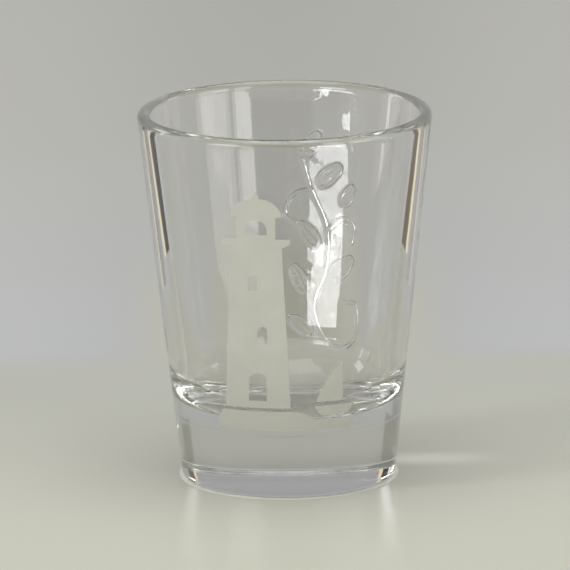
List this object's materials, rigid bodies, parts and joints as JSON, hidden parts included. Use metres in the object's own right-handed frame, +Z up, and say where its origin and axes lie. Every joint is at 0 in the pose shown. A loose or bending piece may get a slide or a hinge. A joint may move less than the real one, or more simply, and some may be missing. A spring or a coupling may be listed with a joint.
{
  "type": "shot glass",
  "caption": "Small tapered shot glass with a thick solid base, a raised vine relief on its back wall and a frosted lighthouse scene on its front wall.",
  "frame": {"origin": "centre of the foot, on the plane that the glass stands on", "axes": "+Z up along the glass's axis, from foot to rim; -Y is the frosted front and +Y the wall with the raised vine"},
  "size_m": [0.0476, 0.0476, 0.0603],
  "materials": {
    "clear_glass": "clear pressed soda-lime glass with a fire-polished rim",
    "frosted_coat": "fine satin frosting, nearly opaque, fired onto the glass"
  },
  "bodies": {
    "root": {"glass_body": "clear_glass", "frosted_tower": "frosted_coat", "frosted_shore": "frosted_coat", "frosted_hull": "frosted_coat", "frosted_sail": "frosted_coat"}
  },
  "joints": []
}
